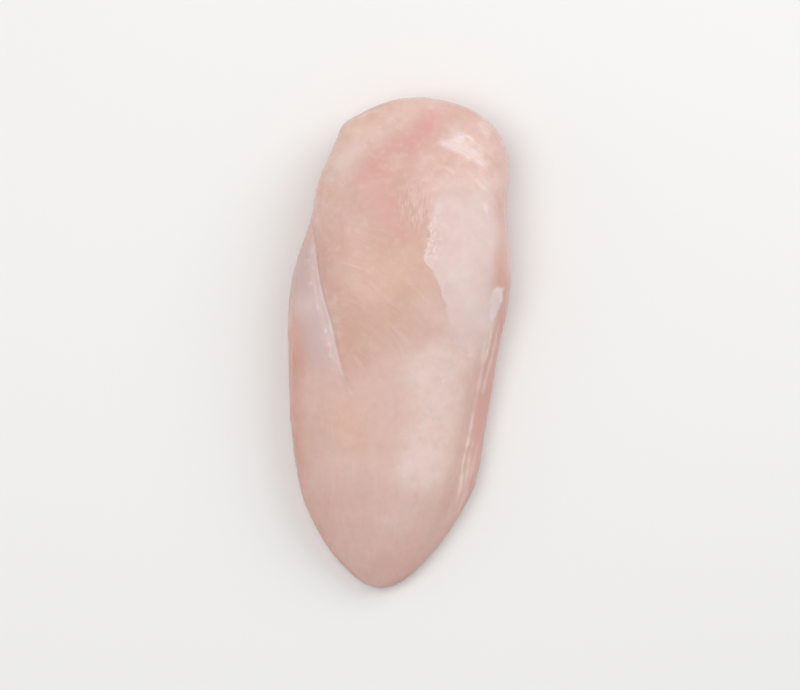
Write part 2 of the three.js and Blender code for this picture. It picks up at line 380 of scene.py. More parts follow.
# %% The other tints and small marks
SPOT_MAPS = {
    # a yellowish cast on the belly, and painted light on the membrane where its slope lies in shade
    "beige": [(402, 262, 11, 0.8), (383, 298, 12, 0.7), (408, 302, 8, 0.4), (352, 335, 9, 0.6)],
    "painted_membrane_light": [(460, 268, 8, 0.9), (440, 276, 4, 0.4), (466, 298, 6, 0.5), (488, 242, 5, 0.4)],
    # darker patches on the belly, and painted shade between the streaks of the glare
    "darker_and_glare_shade": [
        (390, 200, 8, 0.7), (368, 209, 7, 0.7), (402, 228, 8, 0.7), (376, 232, 8, 0.7),
        (418, 235, 5, 0.4), (346, 412, 7, 0.6), (408, 190, 4, 0.4), (476, 149, 1.8, 0.8),
        (480, 155, 2, 1.0), (460, 173, 6, 0.3),
    ],
    # painted yellowish reflected light along the edge round the head and down the left side, and in a few
    # spots low down
    "warm_reflection": [
        (395, 103, 8, 0.9), (430, 99, 8, 0.6), (365, 113, 6, 0.8), (343, 135, 6, 0.7),
        (333, 160, 6, 0.7), (325, 190, 6, 0.8), (320, 220, 5, 0.6), (348, 412, 8, 0.7),
        (352, 442, 8, 0.8), (300, 400, 6, 0.4), (303, 440, 6, 0.4), (456, 436, 5, 0.5),
        (454, 462, 6, 0.8),
    ],
    # the trimmed corner, the wrinkled skin, and the dried edge of the membrane
    "fat": [(348, 130, 2.6, 0.22), (357, 133, 2.8, 0.25), (362, 118, 2.4, 0.2)],
    "wrinkled": [(415, 207, 5.5, 1), (408, 192, 4, 0.7), (420, 224, 4, 0.8), (404, 212, 4, 0.5)],
    "beaded": [(430, 238, 4, 1), (431, 250, 3.5, 0.8), (434, 262, 3, 0.5), (433, 222, 4, 0.4)],
    # the folded wet film at the shoulder, whose glare is partly painted, and its painted highlights
    "glare": [(460, 143, 5, 0.9), (474, 153, 5, 0.7), (484, 166, 5, 0.6), (480, 188, 5, 0.5)],
    "white_glint": [
        (449, 142, 1.4, 0.5), (454, 140.5, 1.4, 0.8), (459, 139.5, 1.5, 1), (463, 141, 1.3, 0.7),
        (444, 145, 1.5, 0.35), (458, 144, 1.6, 0.4), (451, 134, 1.6, 0.35), (445, 150, 1.6, 0.4),
        (456, 129, 2.5, 0.2), (452, 149, 1.8, 0.25),
    ],
}
for map_name, map_spots in SPOT_MAPS.items():
    keep_map(map_name, soft_spots(map_spots))

# %% Where the fibres, the mottling and the thin tail show
GRAIN_SPOTS = [
    (345, 262, 14, 1), (380, 285, 14, 1), (420, 290, 12, 1), (380, 240, 12, 0.6),
    (350, 320, 12, 0.7), (395, 325, 12, 0.7), (392, 548, 24, 1), (340, 500, 12, 0.6),
]
SMOOTH_SPOTS = [(372, 200, 14, 0.7), (392, 232, 9, 0.4)]
keep_map("grain_shows", 0.3 + 0.7 * soft_spots(GRAIN_SPOTS))
mottled_head = (0.35 + 0.65 * ease(y, 22, 55)) * (1 - 0.45 * ease(y, 78, 92))
keep_map("mottling", mottled_head * (1 - soft_spots(SMOOTH_SPOTS)) * upward)
keep_map("tail", ease(-y, 48, 72) * upward)

# %% Arcs for the folds of the wet film
FOLDS_MIDDLE = (430, 215)
FOLDS_RADIUS = 31
folds_x, folds_y = (place / MM for place in spot(*FOLDS_MIDDLE))
keep_map("across_folds", np.hypot(x - folds_x, y - folds_y) + drift(size=9, reach=1.2, seed=8))
keep_map("along_folds", FOLDS_RADIUS * np.arctan2(y - folds_y, x - folds_x))

# %% [markdown]
# Down the right side the flesh turns over to a pinker flank, darker in part from painted shade, and a small
# white flap of membrane stands up there. A wet film lies folded on the shoulder, its whiteness partly
# painted highlight. Flap and film have clear outlines, so soft spots would be too vague for them, and
# cutting them out of the mesh would tear the skin. Their corners are drawn on the photograph instead, and
# each point learns how far inside it lies.

# %% Distance inside a drawn shape
FAR_OUTSIDE = -9.0


def inside(corners):
    """How far each point lies inside a shape without dents, drawn clockwise on the photograph."""
    corner_x, corner_y = in_mm(corners)
    depth = np.full(point_count, np.inf)
    for i in range(len(corners)):
        j = (i + 1) % len(corners)
        side_x, side_y = corner_x[j] - corner_x[i], corner_y[j] - corner_y[i]
        outside = ((y - corner_y[i]) * side_x - (x - corner_x[i]) * side_y) / math.hypot(side_x, side_y)
        depth = np.minimum(depth, -outside)
    return np.where(upward > 0.5, depth, FAR_OUTSIDE)


# %% The low right flank, the flap and the film
FLANK_LINE = [
    (497, 150), (498, 190), (499, 235), (500, 262), (501, 280), (505, 298), (500, 314), (492, 332),
    (482, 364), (475, 402), (471, 440), (467, 477), (457, 515), (443, 545), (428, 570),
]
FLAP = [(491.5, 291), (496, 287), (503, 288), (502, 300), (497, 313), (491, 323), (488.5, 319), (489, 303)]
FILM = [
    (437, 142), (450, 140.5), (466, 145.5), (480, 156), (494, 172),
    (489, 172), (466, 161), (447, 153), (437, 147),
]
keep_map("beyond_flank_line", right_of(FLANK_LINE))
keep_map("low_flank", ease(y, 38, 14))
in_flap = inside(FLAP)
keep_map("in_flap", in_flap)
keep_map("in_film", inside(FILM))

# %% [markdown]
# Strands of connective tissue stand proud of the flesh: along the seam, in the film at the
# shoulder, and in ribbons on the low right flank. Thin tubes would lie on the flesh like threads.
# So each is a path drawn on the photograph and dropped on to the skin, and the points near it are lifted,
# most in the middle of the strand. They are whitened as well, and on the folds at the shoulder and along the
# seam that whiteness is partly painted highlight.

# %% A path on the skin
PATH_STEP = 0.5
FEWEST_STEPS = 8
CLEAR_OF_FLESH = 0.1  # in metres, above or below the breast
skin = BVHTree.FromObject(flesh, bpy.context.evaluated_depsgraph_get())


def path_on_skin(pixels, from_below=False):
    """A smooth path through the pixels, in steps of about half a millimetre, on the skin."""
    path_x, path_y = in_mm(pixels)
    lengths = np.hypot(np.diff(path_x), np.diff(path_y))
    reached = np.concatenate([[0], np.cumsum(lengths)])
    steps = np.linspace(0, reached[-1], max(int(reached[-1] / PATH_STEP), FEWEST_STEPS))
    reach = max(len(steps) // (2 * len(pixels)), 1)
    window = np.ones(2 * reach + 1) / (2 * reach + 1)
    path = []
    for values in (path_x, path_y):
        padded = np.pad(np.interp(steps, reached, values), reach, mode="reflect", reflect_type="odd")
        path.append(np.convolve(padded, window, mode="valid"))
    side = -1 if from_below else 1
    hits = [
        skin.ray_cast(Vector((a * MM, b * MM, side * CLEAR_OF_FLESH)), Vector((0, 0, -side)))[0]
        for a, b in zip(*path)
    ]
    return np.array([hit for hit in hits if hit]) / MM


# %% Lifting and tinting the skin along a path
FLAP_HEIGHT = 0.2
WAVES_PER_MM = 0.12
SWELLINGS_PER_MM = 0.22
THINNEST, WIDEST = 0.3, 1.2
lift = FLAP_HEIGHT * ease(in_flap, -0.2, 1.2)
whiteness = np.zeros(point_count)
redness = np.zeros(point_count)


def add_strand(pixels, width, height, white=1.0, wave=0.0, from_below=False, red=0.0, uneven=1.1):
    """Lifts and tints the skin along a path. Width and height are in millimetres."""
    path = path_on_skin(pixels, from_below)
    path[:, 0] += [noise.noise(Vector(place) * WAVES_PER_MM) * wave for place in path]
    swellings = [uneven * noise.noise(Vector(place) * SWELLINGS_PER_MM) for place in path]
    swelling = np.array([max(1 + swell, THINNEST) for swell in swellings])
    low_corner, high_corner = path.min(0) - 3 * width, path.max(0) + 3 * width
    near = np.all((points / MM > low_corner) & (points / MM < high_corner), axis=1)
    gaps = np.linalg.norm(points[near, None, :] / MM - path[None, :, :], axis=2)
    nearest = gaps.argmin(1)
    taper = np.sin(np.pi * np.clip(nearest / (len(path) - 1), 0, 1)) ** 0.5
    local = swelling[nearest]
    share = np.exp(-((gaps.min(1) / (width * local)) ** 2)) * taper * np.minimum(local, WIDEST)
    lift[near] += height * share
    whiteness[near] = np.maximum(whiteness[near], share * white)
    redness[near] = np.maximum(redness[near], share * red)


# %% Folds of the wet film at the shoulder, each as path, width, height and whiteness, the whiteness partly painted highlight
SHOULDER_FOLDS = [
    ([(436, 142), (447, 149), (458, 154.5), (472, 161), (486, 169)], 0.9, 0.22, 0.25),
    ([(464, 138), (469, 140), (474, 144)], 0.6, 0.2, 0.6),
    ([(466, 142), (472, 145), (478, 150), (484, 157)], 0.6, 0.18, 0.4),
    ([(440, 169), (447, 172), (454, 178)], 0.5, 0.15, 0.3),
    ([(446, 158), (462, 164), (475, 173), (485, 185), (490, 197)], 1.1, 0.1, 0.05),
    ([(458, 170), (469, 178), (480, 189), (487, 203)], 0.8, 0.1, 0.05),
    ([(474, 181), (478, 186), (482, 191), (488, 196)], 0.5, 0.14, 0.3),
    ([(480, 188), (484, 192), (488, 196)], 0.5, 0.16, 0.4),
    ([(479, 180), (485, 185), (490, 191)], 0.6, 0.1, 0.15),
    ([(478, 131), (484, 136), (489, 142)], 0.5, 0.12, 0.3),
    ([(482, 205), (485, 213), (487, 223)], 0.7, 0.18, 0.6),
    ([(343, 128), (352, 122), (366, 116), (386, 111)], 1.2, 0.25, 0.3),
]
for path, width, height, white in SHOULDER_FOLDS:
    add_strand(path, width, height, white)
print(len(SHOULDER_FOLDS), "folds lift up to", round(float(lift.max()), 2), "mm")

# %% The line of the seam and the film that runs out from it, its whiteness partly painted highlight
seam_line = [(pixel_x - 1, pixel_y) for pixel_x, pixel_y in SEAM[:-1]]
SEAM_FILM = [(319.5, 281), (323, 293), (325.5, 303), (329, 316), (332, 327), (335, 339), (337, 350)]
SEAM_FILM_END = [(334, 336), (336, 345), (339, 357), (342, 370)]
SEAM_TAIL = [(336, 350), (338, 360), (342, 372), (348, 386), (353, 397)]
CREASE_ON_BELLY = [(333, 290), (336, 299), (334, 308)]
add_strand(seam_line, 0.65, 0.16, white=0.55, wave=0.5)
add_strand(SEAM_FILM, 0.75, 0.12, white=0.8, uneven=0.3)
add_strand(SEAM_FILM_END, 0.6, 0.08, white=0.5, uneven=0.3)
add_strand(SEAM_TAIL, 0.5, 0.22, white=0.4)
# a faint pale strand on the crease wall of the belly, partly painted light where that wall lies in shade
add_strand(CREASE_ON_BELLY, 0.7, 0.2, white=0.2)

# %% Ribbons on the low right flank, each as path, width, height, whiteness and wave
RIBBONS = [
    ([(491, 322), (490, 332), (488, 346), (485, 360), (480, 378)], 0.7, 0.25, 0.6, 0.4),
    ([(498, 322), (496, 336), (492, 356), (486, 378), (480, 402)], 0.7, 0.22, 0.4, 0.6),
    ([(486, 332), (484, 345), (482, 364), (478, 388), (474, 410)], 1.2, 0.2, 0.45, 0.6),
    ([(474, 408), (471, 425), (467, 443), (463, 462), (461, 482), (457, 505)], 0.8, 0.3, 0.7, 0.5),
    ([(473, 440), (470, 455), (468, 470), (464, 492)], 0.6, 0.22, 0.5, 0.6),
    ([(478, 440), (474, 462), (467, 490), (456, 520)], 0.9, 0.25, 0.3, 0.8),
]
for path, width, height, white, wave in RIBBONS:
    add_strand(path, width, height, white, wave)
print(len(RIBBONS), "ribbons drawn")

# %% [markdown]
# The rib side is seldom seen, and it is finished all the same. A shallow trough marks where the
# tenderloin lay. A thin shiny silverskin lines it, held by a few strands, and two small veins
# and scraps of fat lie near the edges. They could be small pieces of their own, but on real meat
# they are grown into the flesh, so the same maps and strands make them.

# %% Silverskin and scraps of fat
HOLLOW_MIDDLE = (-4.0, 13.5)
HOLLOW_HALF = (17.0, 52.0)
from_middle = np.hypot((x - HOLLOW_MIDDLE[0]) / HOLLOW_HALF[0], (y - HOLLOW_MIDDLE[1]) / HOLLOW_HALF[1])
torn_edge = from_middle + drift(size=16, reach=0.35, seed=4) + drift(size=4, reach=0.12, seed=12)
keep_map("silverskin", ease(torn_edge, 1.12, 0.7) * (1 - upward))
fat_noise = drift(size=11, reach=1, seed=5) + drift(size=3, reach=0.7, seed=6)
scraps = ease(fat_noise + drift(size=1.5, reach=0.3, seed=7), 0.35, 0.85)
rim = ease(facing_up, -0.99, -0.8) * ease(z, 7, 3)
keep_map("edge_fat", scraps * rim)

# %% Strands and sunken veins of the rib side
RIB_STRANDS = [
    ([(362, 215), (356, 260), (352, 310), (356, 360), (366, 405)], 1.2, 0.6, 0.9, 2),
    ([(418, 205), (424, 255), (426, 310), (420, 360), (410, 400)], 1.2, 0.6, 0.8, 2),
    ([(376, 200), (384, 260), (390, 330), (392, 390)], 0.8, 0.4, 0.7, 3),
]
VEINS = [
    ([(440, 190), (446, 240), (437, 290), (444, 340)], 0.9, -0.15, 0.9),
    ([(443, 262), (455, 280), (459, 310)], 0.7, -0.1, 0.7),
    ([(345, 240), (339, 290), (345, 335)], 0.8, -0.1, 0.6),
]
for path, width, height, white, wave in RIB_STRANDS:
    add_strand(path, width, height, white, wave, from_below=True)
for path, width, height, red in VEINS:
    add_strand(path, width, height, white=0, wave=2, from_below=True, red=red)

# %% Storing the strands
keep_map("strands_and_glints", whiteness)
keep_map("veins", redness)
lifted = points + outward * (lift * MM)[:, None]
flesh.data.vertices.foreach_set("co", lifted.ravel())
flesh.data.update()
print("The skin is lifted by", round(float(lift.min()), 2), "to", round(float(lift.max()), 2), "mm")

# %% [markdown]
# The fine relief of flesh repeats all over and follows the surface. A bump in the material alone
# would be missing from the mesh, so Geometry Nodes make it. The tree reads the maps, adds up how
# far each point moves, and pushes it out along its normal: shallow lumps, rows of fibre bundles,
# thin lines between them, the step at the edge of the membrane, and beads where it has dried. The
# trees for relief and for colour use the same kinds of node, so they share one set of helpers.

# %% Helpers for node trees: sums and products
def add_node(tree, kind, inputs, **settings):
    """Adds a node. Each input is filled with a plain value or joined to another node's output."""
    made = tree.nodes.new(kind)
    for name, value in settings.items():
        setattr(made, name, value)
    for key, value in inputs.items():
        if isinstance(value, bpy.types.NodeSocket):
            tree.links.new(value, made.inputs[key])
        else:
            made.inputs[key].default_value = value
    return made


def calculate(tree, operation, *values):
    """The result of one sum, product or other operation."""
    return add_node(tree, "ShaderNodeMath", dict(enumerate(values)), operation=operation).outputs[0]


def chained(tree, operation, values):
    """Takes in the values one after the other, because a math node has room for two."""
    result = values[0]
    for value in values[1:]:
        result = calculate(tree, operation, result, value)
    return result


def product(tree, *values):
    return chained(tree, "MULTIPLY", values)


def added(tree, *values):
    return chained(tree, "ADD", values)


def eased(tree, value, low, high, start=0.0, end=1.0):
    """From start to end while the value goes from low to high, with a soft start and end."""
    inputs = {"Value": value, "From Min": low, "From Max": high, "To Min": start, "To Max": end}
    made = add_node(tree, "ShaderNodeMapRange", inputs, interpolation_type="SMOOTHSTEP")
    return made.outputs["Result"]


# %% Helpers for node trees: noise
def clouds(tree, vector, size, detail=2.0, roughness=0.5):
    """Soft noise from 0 to 1, with spots of about this size in millimetres."""
    scale = calculate(tree, "DIVIDE", 1.0, size) if isinstance(size, bpy.types.NodeSocket) else 1.0 / size
    inputs = {"Vector": vector, "Scale": scale, "Detail": detail, "Roughness": roughness}
    return add_node(tree, "ShaderNodeTexNoise", inputs).outputs[0]


def dashes(tree, across, along, width, stretch, detail=2.0, roughness=0.5):
    """Soft noise in dashes, this wide in millimetres and this many times as long as wide."""
    shortened = product(tree, along, 1.0 / stretch)
    vector = add_node(tree, "ShaderNodeCombineXYZ", {0: across, 1: shortened}).outputs[0]
    return clouds(tree, vector, width, detail, roughness)


def around_zero(tree, value, reach=1.0):
    """Turns noise from 0 to 1 into noise on both sides of zero, up to half the reach."""
    return product(tree, calculate(tree, "SUBTRACT", value, 0.5), reach)


def ragged(tree, distance, vector, size, detail, reach):
    """A distance from an edge, made uneven by noise, so that the edge comes out ragged."""
    return added(tree, distance, around_zero(tree, clouds(tree, vector, size, detail), reach))


# %% The relief tree: its inputs, in millimetres, and its seed
RELIEF_INPUTS = {
    "Lump height": 0.9, "Lump width": 17.0,
    "Bundle height": 0.2, "Bundle width": 2.6,
    "Line height": 0.14, "Line width": 1.5,
    "Membrane thickness": 0.2, "Bead height": 0.32, "Wrinkle height": 0.18,
    "Fold height": 0.17, "Fold width": 2.1,
    "Sag height": 0.8, "Sag width": 6.0,
    "Fat height": 0.5,
    "Seed": 3.0,
}
relief = bpy.data.node_groups.new("flesh relief", "GeometryNodeTree")
relief.interface.new_socket("Geometry", in_out="INPUT", socket_type="NodeSocketGeometry")
for input_name, input_value in RELIEF_INPUTS.items():
    socket = relief.interface.new_socket(input_name, in_out="INPUT", socket_type="NodeSocketFloat")
    socket.default_value = input_value
relief.interface.new_socket("Finish", in_out="INPUT", socket_type="NodeSocketMaterial")
relief.interface.new_socket("Geometry", in_out="OUTPUT", socket_type="NodeSocketGeometry")
given = relief.nodes.new("NodeGroupInput").outputs
made_relief = relief.nodes.new("NodeGroupOutput").inputs
print("The relief tree has", len(given) - 2, "inputs besides the geometry")


# %% The relief tree: places and maps
def stored(name):
    """A map of the skin, inside the relief tree."""
    return add_node(relief, "GeometryNodeInputNamedAttribute", {"Name": name}, data_type="FLOAT").outputs[0]


def scaled(tree, vector, factor):
    """A vector made this many times as long."""
    return add_node(tree, "ShaderNodeVectorMath", {0: vector, "Scale": factor}, operation="SCALE").outputs[0]


MM_PER_METRE = 1000.0
SEED_STEP = 41.0  # how far the noise moves on from one seed to the next
position = relief.nodes.new("GeometryNodeInputPosition").outputs[0]
position_mm = scaled(relief, position, MM_PER_METRE)
seeded = product(relief, given["Seed"], SEED_STEP)
seeded_mm = add_node(relief, "ShaderNodeVectorMath", {0: position_mm, 1: seeded}, operation="ADD").outputs[0]
across = stored("across_fibres")
along = stored("along_fibres")
steepness = stored("steepness")

# %% The relief tree: lumps, bundles, lines and sagging flanks
CLUSTER_SIZE = 11.0
lump_noise = clouds(relief, seeded_mm, given["Lump width"])
lumps = product(relief, around_zero(relief, lump_noise), given["Lump height"])
bundle_noise = dashes(relief, across, along, given["Bundle width"], stretch=8.0, roughness=0.4)
on_rib = eased(relief, stored("underside"), 0.2, 0.9, start=1.0, end=3.0)
on_steep = product(relief, steepness, 0.9)
on_tail = product(relief, stored("tail"), 1.1)
bundle_share = added(relief, on_rib, on_steep, on_tail)
bundles = product(relief, around_zero(relief, bundle_noise), given["Bundle height"], bundle_share)
line_noise = dashes(relief, across, along, given["Line width"], stretch=8.0, detail=1.0)
in_clusters = eased(relief, clouds(relief, seeded_mm, CLUSTER_SIZE), 0.45, 0.62)
lines = product(relief, eased(relief, line_noise, 0.56, 0.72), given["Line height"], in_clusters)
sag_noise = dashes(relief, across, along, given["Sag width"], stretch=4.0)
sags = product(relief, around_zero(relief, sag_noise), given["Sag height"], steepness)
fat_lumps = product(relief, stored("edge_fat"), given["Fat height"])

# %% The relief tree: the membrane's edge and its beads
RAGGED_EDGE = {"size": 3.5, "detail": 3.0, "reach": 3.0}
BEAD_SIZE = 1.5
in_membrane = ragged(relief, stored("in_membrane"), position_mm, **RAGGED_EDGE)
past_edge = eased(relief, in_membrane, 0.0, stored("edge_softness"))
above_muscle_end = eased(relief, stored("below_bare_muscle"), 6.0, -4.0)
covered = product(relief, past_edge, stored("membrane_fade"), above_muscle_end)
step = product(relief, covered, given["Membrane thickness"])
bead_noise = eased(relief, clouds(relief, position_mm, BEAD_SIZE, detail=1.0), 0.5, 0.72)
on_edge = eased(relief, in_membrane, -0.4, 0.4)
beads = product(relief, bead_noise, stored("beaded"), on_edge, given["Bead height"])

# %% The relief tree: the fine wrinkles and the folded film
part = add_node(relief, "ShaderNodeSeparateXYZ", {0: position_mm}).outputs
wrinkle_noise = dashes(relief, part[0], part[1], width=1.7, stretch=6.0, detail=1.0)
wrinkle_height = product(relief, around_zero(relief, wrinkle_noise, 2.0), given["Wrinkle height"])
wrinkles = product(relief, wrinkle_height, stored("wrinkled"))
across_folds, along_folds = stored("across_folds"), stored("along_folds")
fold_noise = dashes(relief, across_folds, along_folds, given["Fold width"], stretch=7.0)
fold_height = product(relief, around_zero(relief, fold_noise, 2.0), given["Fold height"])
folds = product(relief, fold_height, stored("glare"))

# %% The relief tree: moving the points
bare = calculate(relief, "SUBTRACT", 1.0, product(relief, covered, 0.7))
fibres = product(relief, added(relief, bundles, lines), bare)
small = added(relief, added(relief, step, beads), added(relief, wrinkles, folds))
total = added(relief, lumps, fibres, small, added(relief, sags, fat_lumps))
normal = relief.nodes.new("GeometryNodeInputNormal").outputs[0]
offset = scaled(relief, normal, product(relief, total, MM))
moved = add_node(relief, "GeometryNodeSetPosition", {"Geometry": given["Geometry"], "Offset": offset})
realized = add_node(relief, "GeometryNodeRealizeInstances", {"Geometry": moved.outputs[0]})
finished = {"Geometry": realized.outputs[0], "Material": given["Finish"]}
painted = add_node(relief, "GeometryNodeSetMaterial", finished)
relief.links.new(painted.outputs[0], made_relief[0])
print("The whole relief tree has", len(relief.nodes), "nodes")

# %% [markdown]
# Raw chicken is pale because light goes in, scatters among the fibres and comes out again. One
# even colour would look like plastic, and a photograph laid over the flesh would slide and smear
# on its sides. So the colour is built in layers, from the muscle itself to what lies on it, and
# each layer is mixed in by one of the maps. The last number of a layer says how strongly it shows.

# %% The flesh material and its helpers
finish = bpy.data.materials.new("raw_chicken")
finish.use_nodes = True
paint = finish.node_tree
paint.nodes.clear()


def srgb(red, green, blue):
    """A colour from 0 to 255 a channel, as screens show it, made linear for the nodes."""
    linear = [((c / 255 + 0.055) / 1.055) ** 2.4 if c > 10 else c / 255 / 12.92 for c in (red, green, blue)]
    return (*linear, 1.0)


def mapped(name):
    """A map of the skin, inside the material."""
    return add_node(paint, "ShaderNodeAttribute", {}, attribute_name=name).outputs["Fac"]


def tint(under_colour, over_colour, *shares):
    """Lays one colour over another, by shares from 0 to 1 that are multiplied."""
    inputs = {0: product(paint, *shares), 6: under_colour, 7: over_colour}
    return add_node(paint, "ShaderNodeMix", inputs, data_type="RGBA").outputs[2]


def blotches(size, between, values=(0.0, 1.0), detail=2.0, roughness=0.5):
    """Soft blotches of this size in mm, with one value below the two levels and one above."""
    return eased(paint, clouds(paint, place_mm, size, detail, roughness), *between, *values)


# %% Places and maps that several layers read
place_mm = scaled(paint, add_node(paint, "ShaderNodeTexCoord", {}).outputs["Object"], MM_PER_METRE)
fibre_across = mapped("across_fibres")
fibre_along = mapped("along_fibres")
below_side = mapped("underside")
top_side = calculate(paint, "SUBTRACT", 1.0, below_side)
mottle = blotches(5.5, (0.3, 0.7), (0.7, 1.0), detail=4.0, roughness=0.6)

# %% The muscle's own colour and its streaks
MUSCLE_PALE = srgb(217, 180, 167)
MUSCLE_DEEP = srgb(211, 168, 155)
STREAK = srgb(234, 207, 196)
colour = tint(MUSCLE_PALE, MUSCLE_DEEP, blotches(26.0, (0.35, 0.65)))
streak_noise = dashes(paint, fibre_across, fibre_along, width=1.5, stretch=9.0, detail=3.0, roughness=0.6)
streaks = eased(paint, streak_noise, 0.5, 0.7)
clustered = blotches(CLUSTER_SIZE, (0.4, 0.62), (0.25, 1.0))
colour = tint(colour, STREAK, streaks, clustered, mapped("grain_shows"), 0.32)

# %% Darker and beige muscle, painted shade and reflected light, the steep sides and the rib side
DEEP = srgb(201, 157, 143)
BEIGE = srgb(207, 168, 142)
WARM_REFLECTION = srgb(226, 182, 146)
SIDE_SHADE_AND_REFLECTION = srgb(209, 146, 126)
RIB_SIDE = srgb(216, 160, 148)
WISP = srgb(231, 204, 197)
# darker patches on the belly, and painted shade that dims the glare between its streaks
colour = tint(colour, DEEP, mapped("darker_and_glare_shade"), 0.5)
colour = tint(colour, BEIGE, mapped("beige"), 0.5)
# painted yellowish reflected light on the edges
colour = tint(colour, WARM_REFLECTION, mapped("warm_reflection"), 0.45)
# painted shade and painted orange reflected light on the side-facing flanks, partly the flesh's own deeper
# colour there
colour = tint(colour, SIDE_SHADE_AND_REFLECTION, mapped("flank"), blotches(12.0, (0.3, 0.7), (0.5, 1.0)), 0.8)
rib_mottle = blotches(9.0, (0.35, 0.65), (0.45, 0.85), detail=4.0, roughness=0.6)
colour = tint(colour, RIB_SIDE, below_side, rib_mottle)
wisp_noise = dashes(paint, fibre_across, fibre_along, width=3.6, stretch=2.8, detail=3.0)
colour = tint(colour, WISP, eased(paint, wisp_noise, 0.45, 0.7), mapped("steepness"), 0.32)

# %% [markdown]
# Fascia is the thin white tissue that wraps a muscle. The lower half still has it, in a mottled
# veil that frays out where the bare muscle ends, and on the right a thicker sheet of it makes the
# membrane. Separate thin sheets of mesh would show a hard rim, and the real ones melt into the
# flesh, so both are layers of colour whose edges come from the distance maps and from noise.

# %% Pale fascia and specks
FASCIA = srgb(227, 201, 191)
PALE = srgb(233, 211, 203)
SPECK_SIZE = 3.0
fray = around_zero(paint, streak_noise, 16.0)
below_muscle = added(paint, mapped("below_bare_muscle"), fray)
off_flank = eased(paint, mapped("flank"), 0.0, 0.8, start=1.0, end=0.1)
colour = tint(colour, FASCIA, eased(paint, below_muscle, -9.0, 15.0), top_side, mottle, off_flank, 0.4)
specks = clouds(paint, place_mm, SPECK_SIZE, detail=3.0)
colour = tint(colour, PALE, eased(paint, specks, 0.48, 0.7), mapped("mottling"), 0.28)
colour = tint(colour, DEEP, eased(paint, specks, 0.48, 0.3), mapped("mottling"), 0.24)
patchy = blotches(5.0, (0.32, 0.62), (0.66, 1.0), detail=4.0, roughness=0.6)
# pale patches; beside the seam painted light, on the upper rim partly painted reflected light
colour = tint(colour, PALE, mapped("pale"), patchy, 0.8)

# %% The membrane
MEMBRANE = srgb(228, 207, 202)
PAINTED_MEMBRANE_LIGHT = srgb(242, 230, 222)
over_edge = ragged(paint, mapped("in_membrane"), place_mm, **RAGGED_EDGE)
sheet = eased(paint, over_edge, 0.0, mapped("edge_softness"))
before_end = eased(paint, mapped("below_bare_muscle"), 7.0, -4.0)
colour = tint(colour, MEMBRANE, sheet, mapped("membrane_fade"), mottle, before_end, 0.88)
# painted light on the membrane where its slope lies in shade
colour = tint(colour, PAINTED_MEMBRANE_LIGHT, mapped("painted_membrane_light"), 0.3)
colour = tint(colour, DEEP, mapped("beaded"), 0.2)

# %% [markdown]
# The lobe left of the seam is wrapped in silverskin, a bluish shiny tissue that is whitest where it meets
# the belly and fades into the flank, so one distance from the seam places it. Part of that whiteness at the
# seam is painted light on a slope that lies in shade. Dried beads, the folded film and tiny flecks catch the
# light. They could be left to the shine alone, but then they would come and go with the lamps, so they are
# paler too: painted highlights.

# %% The lobe beyond the seam
SILVERSKIN = srgb(207, 181, 180)
SEAM_SKIN_AND_LIGHT = srgb(233, 209, 203)
seam_side = mapped("right_of_seam")
beyond_seam = eased(paint, seam_side, 0.4, -0.4)
lobe_width = eased(paint, seam_side, -16.5, -7.0)
lobe_share = product(paint, beyond_seam, lobe_width, mapped("silvery"), mottle)
colour = tint(colour, SILVERSKIN, lobe_share, 0.95)
# paler skin at the seam, partly silverskin and partly painted light on the shaded slope of the lobe
colour = tint(colour, SEAM_SKIN_AND_LIGHT, lobe_share, eased(paint, seam_side, -4.5, -0.8), 0.6)
# pale patches on the lobe, here painted light on its shaded slope
colour = tint(colour, PALE, lobe_share, mapped("pale"), 0.4)

# %% Beads, the wet film and its glints
FLECK = srgb(244, 232, 230)
GLINT = srgb(243, 234, 241)
bead_edge = eased(paint, over_edge, -0.5, 0.4)
# paler beads on the dried edge of the membrane, partly painted highlight
colour = tint(colour, FLECK, blotches(BEAD_SIZE, (0.5, 0.66)), mapped("beaded"), bead_edge, 0.35)
film_edge = ragged(paint, mapped("in_film"), place_mm, size=3.0, detail=3.0, reach=3.0)
# the whitish film at the shoulder, partly painted highlight of its glare
colour = tint(colour, FLECK, eased(paint, film_edge, -1.3, 1.5), 0.27)
fold_lines = dashes(paint, mapped("across_folds"), mapped("along_folds"), width=1.1, stretch=7.0)
# painted glints along the folds of the film
colour = tint(colour, FLECK, eased(paint, fold_lines, 0.48, 0.66), mapped("glare"), 0.2)
glint_patches = blotches(1.6, (0.3, 0.55), (0.35, 1.0), detail=3.0)
# painted highlights at the brightest part of the glare
colour = tint(colour, GLINT, mapped("white_glint"), glint_patches, 0.55)

# %% Flecks in the pale patches and beside the seam
fleck_noise = dashes(paint, fibre_across, fibre_along, width=1.2, stretch=2.0)
colour = tint(colour, FLECK, eased(paint, fleck_noise, 0.6, 0.72), mapped("pale"), 0.25)
dash_noise = dashes(paint, fibre_across, fibre_along, width=1.4, stretch=2.2, detail=3.0, roughness=0.6)
flecks = eased(paint, dash_noise, 0.52, 0.74)
near_seam = eased(paint, seam_side, -7.0, -2.0)
colour = tint(colour, FLECK, lobe_share, flecks, near_seam, 0.6)

# %% [markdown]
# The last layers lie on top of the others: the blush, painted shade in the crease beside the seam, the
# pinker right flank with some painted shade, the white flap, fat, wrinkles, strands whitened partly as
# painted highlight, and veins. Each could be a material of its own, but a material ends in a hard line along
# the mesh, and here most things fade. So they stay in one material, and the order of the lines is the order
# of the layers.

